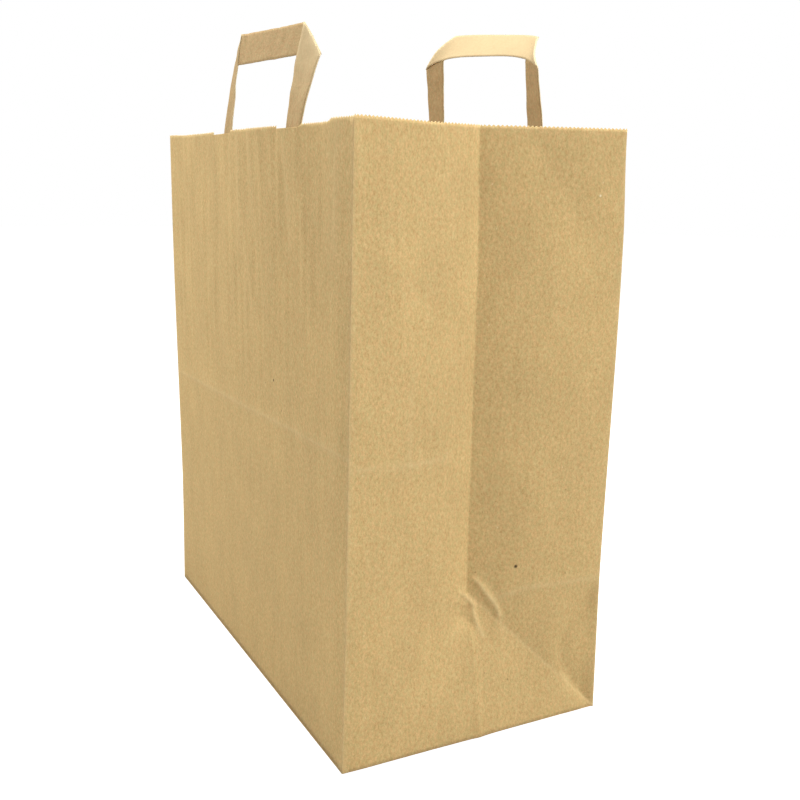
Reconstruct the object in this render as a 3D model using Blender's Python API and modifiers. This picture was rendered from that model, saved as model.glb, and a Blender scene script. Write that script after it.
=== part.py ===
"""A large carrier bag of brown kraft paper, opened and standing: one folded and glued sheet with a block
bottom and gussets, two flat strip handles, and the paper patch that holds each handle inside its panel.

Metres, +Z up. X runs along the width, Y along the depth, and the bag stands on the plane z = 0. The front
panel faces -Y and the gussets face +X and -X."""

import math

import bmesh
import bpy
from mathutils import Vector

# Sizes of the opened bag, over the folds
WIDTH = 0.320
DEPTH = 0.175
HEIGHT = 0.355
PAPER = 0.0003  # one sheet as drawn; the real kraft is about half as thick

# How far each gusset's centre crease is pulled in, where it starts above the bottom and at the mouth
APEX_IN = 0.014
MOUTH_IN = 0.0175
MOUTH_RACK = 0.0032  # two opposite corners of the mouth lean in by this much
FRONT_CREASE_RISE = 0.007  # the crease that the folded bottom pressed into the front panel isn't quite level

# Block bottom and lap seam
FLAP_LAP = 0.024
FLAP_EASE = 0.0002  # a flap stays this far inside the outer fold
GLUE_SINK = PAPER / 3  # how far a glued layer reaches into the one it joins
SEAM_LAP = 0.020
SEAM_EDGE = 0.012  # from the corner fold to the seam's edge

# Mouth: the pinked cut, and the straight notch at each handle leg
TOOTH_PITCH = 0.0024
TOOTH_DEPTH = 0.0009
NOTCH_WIDTH = 0.041
NOTCH_DEPTH = 0.0018
NOTCH_SLANT = 0.004
NOTCH_SHIFT = -0.0078  # from the leg's centre to the notch's centre
NOTCH_REACH = 0.012  # of each notch's cutter, either side of the panel

# Handles: flat strips of folded paper, glued in along their tucked ends
STRIP_WIDTH = 0.0185
STRIP_THICK = 0.0006
LEG_TUCK = 0.042
PLY_GRIP = 0.0001  # how far the two plies press into each other at a folded corner
CLEARANCE = 0.0003  # between pieces that lie on each other

# Patches over the handles' ends
PATCH_HEIGHT = 0.052
PATCH_DROP = 0.008  # from the mouth to the patch
PATCH_SIDE = 0.016  # beyond the outer edge of each leg
PATCH_RAMP = 0.004
PATCH_EASE = 0.0008  # room beside the leg under the patch

# Each handle: side is -1 at the front and +1 at the back. curl is how far its top leans into the bag, twist
# how far its legs turn, roll the slope of the rolled-back grip, arch the height of the grip's middle, and bow
# how far the panel bows out between the legs.
HANDLES = {
    "front": {
        "side": -1,
        "centre": 0.031,
        "spacing": 0.111,
        "rise": 0.059,
        "curl": 0.014,
        "twist": 0.006,
        "roll": 0.0,
        "arch": 0.0,
        "bow": 0.004,
    },
    "back": {
        "side": 1,
        "centre": 0.004,
        "spacing": 0.124,
        "rise": 0.066,
        "curl": 0.003,
        "twist": 0.004,
        "roll": 0.6,
        "arch": 0.004,
        "bow": 0.004,
    },
}

GRIP_EASE = 0.4  # share of the half grip over which its roll and arch grow from the corner fold

# How finely the folded sheet is divided
PANEL_STEPS = 16
GUSSET_STEPS = 4  # for each half
UPPER_STEPS = 3  # above the highest crease
MOUTH_BAND = 0.012

# Derived sizes
HALF_WIDTH = WIDTH / 2
GUSSET_HALF = DEPTH / 2  # also the height at which the gusset's diagonal folds meet
BASE_Z = 2 * PAPER  # two layers of flap lie under the floor
WALL = HEIGHT - BASE_Z
FLAP_REACH = GUSSET_HALF + FLAP_LAP / 2

KRAFT = (0.56, 0.41, 0.21, 1.0)
KRAFT_DARK = (0.47, 0.32, 0.16, 1.0)


def lerp(a, b, t):
    return a + (b - a) * t


# The folded form of the sheet

def gusset_in(h):
    """How far the centre crease is pulled in at paper height h, from the meeting of the diagonals up."""
    return lerp(APEX_IN, MOUTH_IN, (h - GUSSET_HALF) / (WALL - GUSSET_HALF))


def half_depth(h):
    """Half the bag's depth at a corner fold: the gusset's halves keep their width, so it narrows upwards."""
    knee = math.sqrt(GUSSET_HALF**2 - APEX_IN**2)
    if h <= GUSSET_HALF:
        return lerp(GUSSET_HALF, knee, h / GUSSET_HALF)
    return math.sqrt(GUSSET_HALF**2 - gusset_in(h) ** 2)


def corner(sx, sy, h):
    """A point of the corner fold at the side sx of X and the side sy of Y."""
    lean = MOUTH_RACK * h / WALL if sx != sy else 0.0
    return Vector((sx * HALF_WIDTH, sy * (half_depth(h) - lean), BASE_Z + h))


def panel_bow(handle, x, h):
    """How far a large panel bows out between its handle's legs. It is flat below its lowest crease."""
    crease = DEPTH + FRONT_CREASE_RISE if handle["side"] < 0 else GUSSET_HALF
    reach = (x - handle["centre"]) / handle["spacing"]
    if h <= crease or abs(reach) >= 1:
        return 0.0
    return handle["bow"] * (1 - reach**2) ** 2 * (h - crease) / (WALL - crease)


def panel_face(handle, x, h):
    """Distance of a large panel's outer face from the middle plane of the bag."""
    side = handle["side"]
    left, right = (abs(corner(sx, side, h).y) for sx in (-1, 1))
    return lerp(left, right, x / WIDTH + 0.5) + panel_bow(handle, x, h)


def panel_point(handle, x, h):
    return Vector((x, handle["side"] * panel_face(handle, x, h), BASE_Z + h))


def crease_point(sx, h):
    """A point of the gusset's centre crease, from the meeting of the diagonals up."""
    apex_z = BASE_Z + math.sqrt(GUSSET_HALF**2 - APEX_IN**2)
    z = lerp(apex_z, HEIGHT, (h - GUSSET_HALF) / (WALL - GUSSET_HALF))
    y = (corner(sx, -1, h).y + corner(sx, 1, h).y) / 2
    return Vector((sx * (HALF_WIDTH - gusset_in(h)), y, z))


def gusset_point(sx, s, h):
    """A point of a gusset at distance s from its centre crease. Below the meeting of the diagonals each half
    is two flat triangles with the diagonal fold between them."""
    sy = 1 if s > 0 else -1
    across = (GUSSET_HALF - abs(s)) / GUSSET_HALF
    if h >= GUSSET_HALF:
        return corner(sx, sy, h).lerp(crease_point(sx, h), across)
    foot = corner(sx, sy, 0.0)
    to_apex = crease_point(sx, GUSSET_HALF) - foot
    up = h / GUSSET_HALF
    if up <= across:
        to_middle = Vector((sx * HALF_WIDTH, 0.0, BASE_Z)) - foot
        return foot + (across - up) * to_middle + up * to_apex
    to_knee = corner(sx, sy, GUSSET_HALF) - foot
    return foot + (up - across) * to_knee + across * to_apex


def front_crease(x):
    """Paper height of the crease that the bottom left on the front panel while the bag was folded flat."""
    return DEPTH + FRONT_CREASE_RISE * (x / WIDTH + 0.5)


def ring(level):
    """The sheet's outline at one level, anticlockwise from the front left corner."""
    points = []
    for i in range(PANEL_STEPS):
        x = WIDTH * (i / PANEL_STEPS - 0.5)
        points.append(panel_point(HANDLES["front"], x, level(x)))
    for i in range(2 * GUSSET_STEPS):
        s = GUSSET_HALF * (i / GUSSET_STEPS - 1)
        points.append(gusset_point(1, s, level(HALF_WIDTH if i == 0 else None)))
    for i in range(PANEL_STEPS):
        x = WIDTH * (0.5 - i / PANEL_STEPS)
        points.append(panel_point(HANDLES["back"], x, level(None)))
    for i in range(2 * GUSSET_STEPS):
        s = GUSSET_HALF * (1 - i / GUSSET_STEPS)
        points.append(gusset_point(-1, s, level(None)))
    return points


def level_at(h):
    return lambda x: h


def imprint_level(x):
    return DEPTH if x is None else front_crease(x)


def levels():
    """Ring levels from the floor to the mouth. The lowest follow the diagonals' grid."""
    low = [level_at(GUSSET_HALF * i / GUSSET_STEPS) for i in range(GUSSET_STEPS + 1)]
    first = DEPTH + FRONT_CREASE_RISE
    last = WALL - MOUTH_BAND
    high = [level_at(lerp(first, last, i / UPPER_STEPS)) for i in range(1, UPPER_STEPS + 1)]
    return low + [imprint_level] + high + [level_at(WALL)]


# Modelling helpers

def collection(name, scene):
    made = bpy.data.collections.new(name)
    scene.collection.children.link(made)
    return made


def kraft(name, colour, roughness):
    material = bpy.data.materials.new(name)
    material.use_nodes = True
    shader = material.node_tree.nodes["Principled BSDF"]
    shader.inputs["Base Color"].default_value = colour
    shader.inputs["Roughness"].default_value = roughness
    shader.inputs["Metallic"].default_value = 0.0
    return material


def add_object(name, bm, home, material=None):
    mesh = bpy.data.meshes.new(name)
    bm.to_mesh(mesh)
    bm.free()
    made = bpy.data.objects.new(name, mesh)
    home.objects.link(made)
    if material:
        mesh.materials.append(material)
    return made


def as_cutter(made):
    made.hide_render = True
    made.display_type = "WIRE"
    return made


def combine(target, other, operation):
    modifier = target.modifiers.new(f"{operation.lower()} {other.name}", "BOOLEAN")
    modifier.operation = operation
    modifier.solver = "EXACT"
    modifier.object = other


def solidify(made, thickness, offset):
    modifier = made.modifiers.new("paper", "SOLIDIFY")
    modifier.thickness = thickness
    modifier.offset = offset
    modifier.use_even_offset = True


def pink(bm, edges, inwards):
    """Cuts teeth along boundary edges: every other new point moves by the vector inwards."""
    for edge in edges:
        start, end = edge.verts
        teeth = max(1, round(edge.calc_length() / TOOTH_PITCH))
        origin, run = start.co.copy(), end.co - start.co
        made = bmesh.ops.subdivide_edges(bm, edges=[edge], cuts=2 * teeth - 1)["geom_inner"]
        fresh = [v for v in made if isinstance(v, bmesh.types.BMVert)]
        fresh.sort(key=lambda v: (v.co - origin).dot(run))
        for vertex in fresh[::2]:
            vertex.co += inwards


def prism(name, outline, axis, low, high, home):
    """A flat outline extruded along an axis, Y or Z, from low to high."""
    bm = bmesh.new()
    if axis == "Z":
        points = [Vector((x, y, low)) for x, y in outline]
        move = Vector((0, 0, high - low))
    else:
        points = [Vector((x, low, z)) for x, z in outline]
        move = Vector((0, high - low, 0))
    sweep(bm, [bm.faces.new([bm.verts.new(p) for p in points])], move)
    return add_object(name, bm, home)


def sweep(bm, faces, move):
    made = bmesh.ops.extrude_face_region(bm, geom=faces)["geom"]
    bmesh.ops.translate(bm, verts=[v for v in made if isinstance(v, bmesh.types.BMVert)], vec=move)
    bmesh.ops.recalc_face_normals(bm, faces=bm.faces)


# The bag's sheet

def crease_diagonals(bm, rings):
    """Splits the lowest gusset cells along the folds from the bottom's corners to where they meet."""
    near = [PANEL_STEPS, 2 * PANEL_STEPS + 2 * GUSSET_STEPS]
    for first in near:
        last = (first + 2 * GUSSET_STEPS) % len(rings[0])
        for start, step in ((first, 1), (last, -1)):
            for i in range(GUSSET_STEPS):
                ends = [rings[k][(start + step * k) % len(rings[0])] for k in (i, i + 1)]
                bmesh.ops.connect_verts(bm, verts=ends)


def sheet_surface():
    """The sheet's outer face: floor, four walls and the pinked mouth."""
    bm = bmesh.new()
    heights = levels()
    base = [bm.verts.new(p) for p in ring(heights[0])]
    floor = bm.faces.new(base)
    edges = list(floor.edges)
    rings = [base]
    for level in heights[1:]:
        made = bmesh.ops.extrude_edge_only(bm, edges=edges)["geom"]
        fresh = {v for v in made if isinstance(v, bmesh.types.BMVert)}
        above = []
        for vertex, place in zip(rings[-1], ring(level)):
            twin = next(e.other_vert(vertex) for e in vertex.link_edges if e.other_vert(vertex) in fresh)
            twin.co = place
            above.append(twin)
        rings.append(above)
        edges = [bm.edges.get((above[i - 1], above[i])) for i in range(len(above))]
    crease_diagonals(bm, rings)
    pink(bm, edges, Vector((0, 0, -TOOTH_DEPTH)))
    bmesh.ops.recalc_face_normals(bm, faces=bm.faces)
    bmesh.ops.triangulate(bm, faces=bm.faces)
    return bm


def flap(name, side, low, high, home):
    """One of the two large bottom flaps, a trapezium with a pinked end that passes the middle."""
    foot = GUSSET_HALF - FLAP_EASE
    tip = foot - FLAP_REACH
    wide = HALF_WIDTH - 2 * FLAP_EASE
    narrow = wide - FLAP_REACH
    bm = bmesh.new()
    outline = [(-wide, foot), (wide, foot), (narrow, tip), (-narrow, tip)]
    corners = [bm.verts.new((x, side * y, low)) for x, y in outline]
    bm.faces.new(corners)
    pink(bm, [bm.edges.get(corners[2:])], Vector((0, side * TOOTH_DEPTH, 0)))
    sweep(bm, bm.faces[:], Vector((0, 0, high - low)))
    return as_cutter(add_object(name, bm, home))


def lap_seam(home):
    """The sheet's outer edge where it laps over its inner edge, on the back panel."""
    handle = HANDLES["back"]
    left = SEAM_EDGE - HALF_WIDTH
    heights = [level(None) for level in levels()]
    heights[0] += TOOTH_PITCH
    heights[-1] -= 2 * TOOTH_DEPTH
    bm = bmesh.new()
    bmesh.ops.create_grid(bm, x_segments=1, y_segments=len(heights) - 1, size=0.5)
    for vertex in bm.verts:
        x = left + SEAM_LAP * round(vertex.co.x + 0.5)
        row = round((vertex.co.y + 0.5) * (len(heights) - 1))
        vertex.co = panel_point(handle, x, heights[row])
    seam = add_object("lap_seam", bm, home)
    # The grid's normals point into the bag here, so the layer grows against them.
    thickness = PAPER + GLUE_SINK
    solidify(seam, thickness, 2 * GLUE_SINK / thickness - 1)
    return as_cutter(seam)


def notch(name, handle, leg_x, home):
    """The straight cut in the mouth at one handle leg: square on one side and slanted on the other."""
    left = leg_x + NOTCH_SHIFT - NOTCH_WIDTH / 2
    right = left + NOTCH_WIDTH
    bottom = HEIGHT - NOTCH_DEPTH
    above = HEIGHT + NOTCH_SLANT
    outline = [(left, bottom), (right - NOTCH_SLANT, bottom), (right, HEIGHT), (right, above), (left, above)]
    middle = handle["side"] * GUSSET_HALF
    return as_cutter(prism(name, outline, "Y", middle - NOTCH_REACH, middle + NOTCH_REACH, home))


def floor_step(home):
    """Between the two side flaps, where the floor is half a sheet thinner than over them."""
    x = HALF_WIDTH - FLAP_REACH
    y = GUSSET_HALF - PAPER - CLEARANCE
    outline = [(-x, -y), (x, -y), (x, y), (-x, y)]
    return as_cutter(prism("floor_step", outline, "Z", BASE_Z + PAPER / 2, BASE_Z + 2 * PAPER, home))


def legs(handle):
    return [handle["centre"] + side * handle["spacing"] / 2 for side in (-1, 1)]


def make_bag_body(home, tools, material):
    body = add_object("bag_body", sheet_surface(), home, material)
    solidify(body, PAPER, -1)
    combine(body, flap("front_flap", -1, PAPER, BASE_Z + GLUE_SINK, tools), "UNION")
    combine(body, flap("back_flap", 1, 0.0, BASE_Z + GLUE_SINK, tools), "UNION")
    combine(body, lap_seam(tools), "UNION")
    combine(body, floor_step(tools), "DIFFERENCE")
    for name, handle in HANDLES.items():
        for word, leg_x in zip(("left", "right"), legs(handle)):
            combine(body, notch(f"{name}_{word}_notch", handle, leg_x, tools), "DIFFERENCE")
    return body


# Handles

def handle_point(handle, x, ply, h):
    """Where a point of the flat strip lies: h above the mouth, ply deep from the strip's outer face."""
    reach = abs(x - handle["centre"]) / (handle["spacing"] / 2)
    share = max(0.0, h) / handle["rise"]
    grip = min(1.0, max(0.0, 1 - reach) / GRIP_EASE)
    rolled = max(0.0, h - handle["rise"] + STRIP_WIDTH) * grip
    inward = PAPER + CLEARANCE + ply - handle["roll"] * rolled
    inward += handle["curl"] * share**2 + handle["twist"] * share * (reach**3 - 1)
    z = HEIGHT + h + handle["arch"] * share**2 * grip - handle["roll"] ** 2 / 2 * rolled
    face = panel_face(handle, x, WALL + min(0.0, h))
    return Vector((x, handle["side"] * (face - inward), z))


def make_handle(name, handle, home, tools, material):
    """A strip folded into a U. At each top corner it is folded over along a diagonal, so the legs lie on the
    outer side of the grip and the corners are two plies thick."""
    left, right = legs(handle)
    half = STRIP_WIDTH / 2
    top = handle["rise"]
    under = top - STRIP_WIDTH
    plies = []
    for word, leg, out in (("left", left, -1), ("right", right, 1)):
        outline = [(leg - out * half, -LEG_TUCK), (leg + out * half, -LEG_TUCK)]
        outline += [(leg + out * half, under), (leg - out * half, top)]
        plies.append(prism(f"{name}_{word}_leg", outline, "Y", 0.0, STRIP_THICK, tools))
    outline = [(left - half, under), (right + half, under), (right - half, top), (left + half, top)]
    inner = STRIP_THICK - PLY_GRIP
    grip = prism(f"{name}_grip", outline, "Y", inner, inner + STRIP_THICK, tools)
    for ply in plies:
        combine(grip, as_cutter(ply), "UNION")
    bpy.context.view_layer.update()
    flat = grip.evaluated_get(bpy.context.evaluated_depsgraph_get())
    bm = bmesh.new()
    bm.from_mesh(flat.to_mesh())
    for made in (grip, *plies):
        bpy.data.objects.remove(made)
    bend_cuts(bm, handle, left, right)
    for vertex in bm.verts:
        vertex.co = handle_point(handle, vertex.co.x, vertex.co.y, vertex.co.z)
    bmesh.ops.triangulate(bm, faces=bm.faces)
    bmesh.ops.recalc_face_normals(bm, faces=bm.faces)
    return add_object(name, bm, home, material)


def bend_cuts(bm, handle, left, right):
    """Divides the flat strip so that it can bend: across each leg, along the grip and down its middle."""
    step = STRIP_WIDTH / 2
    rows = [i * step for i in range(-math.ceil(LEG_TUCK / step), math.ceil(handle["rise"] / step))]
    rows.append(handle["rise"] - STRIP_WIDTH)
    columns = math.ceil((right - left) / step)
    cuts = [((0, 0, row), (0, 0, 1)) for row in rows]
    cuts += [((lerp(left, right, i / columns), 0, 0), (1, 0, 0)) for i in range(columns + 1)]
    for place, normal in cuts:
        geometry = bm.verts[:] + bm.edges[:] + bm.faces[:]
        bmesh.ops.bisect_plane(bm, geom=geometry, dist=1e-7, plane_co=place, plane_no=normal)


# Patches

def patch_lift(handle, x, h):
    """How far the patch stands off the panel: over a leg's end it clears the strip, elsewhere it lies flat."""
    beside = STRIP_WIDTH / 2 + PATCH_EASE
    below = LEG_TUCK + PATCH_EASE
    lift = 0.0
    for leg in legs(handle):
        across = 1 - (abs(x - leg) - beside) / PATCH_RAMP
        down = 1 - (-h - below) / PATCH_RAMP
        lift = max(lift, min(1.0, max(0.0, across)) * min(1.0, max(0.0, down)))
    return lift * (STRIP_THICK + CLEARANCE)


def make_patch(name, handle, home, material):
    """A rectangle of paper laid over both tucked ends and pressed to the panel round them."""
    left, right = legs(handle)
    beside = STRIP_WIDTH / 2 + PATCH_EASE
    columns = [left - STRIP_WIDTH / 2 - PATCH_SIDE]
    for leg in (left, right):
        columns += [leg - beside - PATCH_RAMP, leg - beside, leg, leg + beside, leg + beside + PATCH_RAMP]
    columns.append(right + STRIP_WIDTH / 2 + PATCH_SIDE)
    free = (left + beside + PATCH_RAMP, right - beside - PATCH_RAMP)
    between = math.ceil((free[1] - free[0]) / STRIP_WIDTH)
    columns += [lerp(free[0], free[1], i / between) for i in range(1, between)]
    columns.sort()
    below = LEG_TUCK + PATCH_EASE
    rows = [-PATCH_DROP, -(PATCH_DROP + below) / 2, -below, -below - PATCH_RAMP, -PATCH_DROP - PATCH_HEIGHT]
    bm = bmesh.new()
    bmesh.ops.create_grid(bm, x_segments=len(columns) - 1, y_segments=len(rows) - 1, size=0.5)
    for vertex in bm.verts:
        x = columns[round((vertex.co.x + 0.5) * (len(columns) - 1))]
        h = rows[round((vertex.co.y + 0.5) * (len(rows) - 1))]
        inward = PAPER + CLEARANCE + patch_lift(handle, x, h)
        y = handle["side"] * (panel_face(handle, x, WALL + h) - inward)
        vertex.co = Vector((x, y, HEIGHT + h))
    bmesh.ops.triangulate(bm, faces=bm.faces)
    patch = add_object(name, bm, home, material)
    # The grid's normals point along +Y, and the paper lies on the bag's inner side of it.
    solidify(patch, PAPER, -handle["side"])
    return patch


def main():
    for old in list(bpy.data.objects):
        bpy.data.objects.remove(old)
    scene = bpy.context.scene
    home = collection("paper_carrier_bag", scene)
    tools = collection("cutters", scene)
    kraft_sheet = kraft("kraft_sheet", KRAFT, 0.85)
    kraft_strip = kraft("kraft_strip", KRAFT, 0.8)
    kraft_patch = kraft("kraft_patch", KRAFT_DARK, 0.85)
    stand = bpy.data.objects.new("carrier_bag", None)
    home.objects.link(stand)
    made = [make_bag_body(home, tools, kraft_sheet)]
    for name, handle in HANDLES.items():
        made.append(make_handle(f"{name}_handle", handle, home, tools, kraft_strip))
        made.append(make_patch(f"{name}_handle_patch", handle, home, kraft_patch))
    for part in made:
        part.parent = stand


main()
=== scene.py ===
# %% [markdown]
# # A large carrier bag of brown kraft paper
# The bag is one sheet of paper. A machine pinks its ends, folds it into a tube with gussets, glues the lap
# seam, folds the block bottom and glues two flat strip handles inside the mouth. The solids come from the
# part's own CAD. This script dresses them as real paper, and it works as the machine does: each piece starts
# as a flat blank, is cut and scored flat, and is then folded up. That way the folds, the fibres and the
# teeth of the cut all stay where they are on real paper.

import math

import bmesh
import bpy
from mathutils import Matrix, Vector, noise


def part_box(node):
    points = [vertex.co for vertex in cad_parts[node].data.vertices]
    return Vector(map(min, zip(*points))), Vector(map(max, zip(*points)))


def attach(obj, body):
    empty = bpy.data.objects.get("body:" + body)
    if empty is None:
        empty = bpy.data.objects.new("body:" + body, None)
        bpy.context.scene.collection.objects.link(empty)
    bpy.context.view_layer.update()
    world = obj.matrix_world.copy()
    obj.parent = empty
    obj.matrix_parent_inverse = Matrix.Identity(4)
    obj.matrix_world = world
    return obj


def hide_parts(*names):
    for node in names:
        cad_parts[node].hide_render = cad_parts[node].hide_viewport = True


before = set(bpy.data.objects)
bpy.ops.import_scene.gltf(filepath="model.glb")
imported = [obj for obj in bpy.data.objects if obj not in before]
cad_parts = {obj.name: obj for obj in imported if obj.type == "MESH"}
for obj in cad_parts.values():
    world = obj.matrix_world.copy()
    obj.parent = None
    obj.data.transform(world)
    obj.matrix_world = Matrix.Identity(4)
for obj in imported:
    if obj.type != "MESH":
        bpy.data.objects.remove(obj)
scene = bpy.context.scene
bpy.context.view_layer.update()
body_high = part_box("bag_body")[1]

# %% [markdown]
# ## The camera
# The photo was taken from a little above the middle of the bag, close to its near right corner. The camera
# was fitted to the six corners of the two walls that show.

# %% Set the camera
LENS = 45.81
EYE = Vector((0.6269, -0.2978, 0.3266))
eye_right = Vector((0.45877, 0.88842, 0.01547))
eye_up = Vector((-0.19616, 0.08429, 0.97694))
lens = bpy.data.cameras.new("photo_lens")
lens.lens = LENS
lens.sensor_width = 36.0
camera = bpy.data.objects.new("photo_camera", lens)
scene.collection.objects.link(camera)
turn = Matrix((eye_right, eye_up, eye_right.cross(eye_up))).transposed().to_4x4()
camera.matrix_world = Matrix.Translation(EYE) @ turn
scene.camera = camera
print("lens", LENS, "mm, eye", [round(c, 3) for c in EYE])

# %% [markdown]
# ## Helpers for nodes
# A shader is a small graph. Each node is made with one call that gives its kind, its settings and what its
# inputs are joined to, so that a material below reads from top to bottom like a recipe.


# %% Helpers for nodes
def node(tree, kind, inputs=None, **settings):
    """One node of a tree. An input is a number, a colour or another node's output."""
    made = tree.nodes.new(kind)
    for name, value in settings.items():
        setattr(made, name, value)
    for name, value in (inputs or {}).items():
        if isinstance(value, bpy.types.NodeSocket):
            tree.links.new(value, made.inputs[name])
        else:
            made.inputs[name].default_value = value
    return made


def maths(tree, operation, first, second=0.0, clamp=False):
    inputs = {0: first, 1: second}
    return node(tree, "ShaderNodeMath", inputs, operation=operation, use_clamp=clamp).outputs[0]


def blend_colour(tree, factor, first, second, mode="MIX"):
    mixed = node(tree, "ShaderNodeMix", data_type="RGBA", blend_type=mode)
    for place, value in ((0, factor), (6, first), (7, second)):
        if isinstance(value, bpy.types.NodeSocket):
            tree.links.new(value, mixed.inputs[place])
        else:
            mixed.inputs[place].default_value = value
    return mixed.outputs[2]


def new_material(name):
    """A material and its tree, with only the output left in it."""
    material = bpy.data.materials.new(name)
    material.use_nodes = True
    tree = material.node_tree
    for old in [n for n in tree.nodes if n.type != "OUTPUT_MATERIAL"]:
        tree.nodes.remove(old)
    return material, tree, tree.nodes["Material Output"]


def remap(tree, value, low, high, to_low=0.0, to_high=1.0):
    """A value whose range from low to high is stretched to another range, and kept inside it."""
    inputs = {"Value": value, "From Min": low, "From Max": high, "To Min": to_low, "To Max": to_high}
    return node(tree, "ShaderNodeMapRange", inputs).outputs[0]


print("helpers", ", ".join(made.__name__ for made in (node, maths, blend_colour, new_material, remap)))

# %% [markdown]
# ## The room
# The photo's ground is plain white. Here the floor and the world are white to the camera by the Is Camera
# Ray trick, while the light that reaches the paper stays at a plain level. The three lamps are large and
# soft. One hangs over the bag for the upward faces. One stands to the right, so that the left half of the
# gusset is a little brighter than the right half, and one stands to the left and lights the front.

# %% Light the room
AMBIENT = 0.4
FLOOR_GLOW = 0.88  # with the lamps' own light, this brings the floor to white for the camera
FLOOR_RADIUS = 6.0
FLOOR_DROP = 0.0002  # the floor is just under the base, so that the two never flicker
LAMPS = {
    "over_bag": {"at": (0.2, 0.1, 1.3), "aim": (0.0, 0.0, 0.35), "size": 0.6, "watts": 11.0},
    "right_side": {"at": (1.35, 0.8, 0.62), "aim": (0.16, 0.0, 0.2), "size": 0.5, "watts": 14.2},
    "left_side": {"at": (-0.75, -1.2, 0.95), "aim": (0.0, -0.09, 0.2), "size": 0.45, "watts": 15.5},
}


def seen_directly(tree):
    """1 for rays that show the ground itself: from the camera, or by a mirror or clear surface."""
    path = node(tree, "ShaderNodeLightPath")
    seen = maths(tree, "MAXIMUM", path.outputs["Is Camera Ray"], path.outputs["Is Glossy Ray"])
    return maths(tree, "MAXIMUM", seen, path.outputs["Is Transmission Ray"])


def white_world():
    world = bpy.data.worlds.new("white_room")
    world.use_nodes = True
    tree = world.node_tree
    tree.nodes.clear()
    shown = node(tree, "ShaderNodeBackground", {"Color": (1, 1, 1, 1), "Strength": 1.0})
    lit = node(tree, "ShaderNodeBackground", {"Color": (1, 0.93, 0.84, 1), "Strength": AMBIENT})
    both = node(tree, "ShaderNodeMixShader", {0: seen_directly(tree), 1: lit.outputs[0], 2: shown.outputs[0]})
    node(tree, "ShaderNodeOutputWorld", {"Surface": both.outputs[0]})
    return world


def pale_floor():
    material, tree, out = new_material("pale_floor")
    seen = seen_directly(tree)
    colour = blend_colour(tree, seen, (0.42, 0.41, 0.39, 1), (0.55, 0.55, 0.55, 1))
    matt = node(tree, "ShaderNodeBsdfDiffuse", {"Color": colour})
    strength = maths(tree, "MULTIPLY", seen, FLOOR_GLOW)
    glow = node(tree, "ShaderNodeEmission", {"Color": (1, 1, 1, 1), "Strength": strength})
    both = node(tree, "ShaderNodeAddShader", {0: matt.outputs[0], 1: glow.outputs[0]})
    tree.links.new(both.outputs[0], out.inputs["Surface"])
    return material


scene.world = white_world()
floor_form = bmesh.new()
bmesh.ops.create_circle(floor_form, cap_ends=True, segments=64, radius=FLOOR_RADIUS)
floor_mesh = bpy.data.meshes.new("studio_floor")
floor_form.to_mesh(floor_mesh)
floor_form.free()
floor_mesh.materials.append(pale_floor())
floor = bpy.data.objects.new("studio_floor", floor_mesh)
floor.location.z = -FLOOR_DROP
scene.collection.objects.link(floor)
for name, lamp in LAMPS.items():
    light = bpy.data.lights.new(name, "AREA")
    light.shape = "DISK"
    light.size = lamp["size"]
    light.energy = lamp["watts"]
    hung = bpy.data.objects.new(name, light)
    scene.collection.objects.link(hung)
    hung.location = lamp["at"]
    hung.rotation_euler = (Vector(lamp["aim"]) - Vector(lamp["at"])).to_track_quat("-Z", "Y").to_euler()
scene.view_settings.view_transform = "Standard"
print("lamps", ", ".join(LAMPS))

# %% [markdown]
# ## What kraft paper looks like
# Unbleached kraft is a felt of long brown fibres. Close up it is mottled at about a millimetre, with a faint
# streak along the bag's height, because the fibres lie along the web as it runs through the machine. A few
# dark bark flecks and pale fibres are left in it. All of this is one node group, used by every paper of the
# bag. It reads the blank's own flat coordinates in metres, so the streaks turn with each folded wall.


# %% Build the fibre group
def group_tree(name, inputs, outputs):
    """An empty shader node group with named float or vector sockets, and its two end nodes."""
    tree = bpy.data.node_groups.new(name, "ShaderNodeTree")
    for socket, kind, start in inputs:
        made = tree.interface.new_socket(name=socket, in_out="INPUT", socket_type=kind)
        if start is not None:
            made.default_value = start
    for socket in outputs:
        tree.interface.new_socket(name=socket, in_out="OUTPUT", socket_type="NodeSocketFloat")
    return tree, node(tree, "NodeGroupInput"), node(tree, "NodeGroupOutput")


def noise_value(tree, place, scale, detail=2.0, roughness=0.5):
    inputs = {"Vector": place, "Scale": scale, "Detail": detail, "Roughness": roughness}
    return node(tree, "ShaderNodeTexNoise", inputs).outputs[0]


def flecks(tree, place, scale, share, radius):
    """A mask of small round flecks in a given share of the cells of a Voronoi pattern."""
    cells = node(tree, "ShaderNodeTexVoronoi", {"Vector": place, "Scale": scale})
    chosen = node(tree, "ShaderNodeSeparateColor", {0: cells.outputs["Color"]}).outputs[0]
    picked = maths(tree, "LESS_THAN", chosen, share)
    inside = remap(tree, cells.outputs["Distance"], radius, radius / 3)
    return maths(tree, "MULTIPLY", picked, inside)


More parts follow.
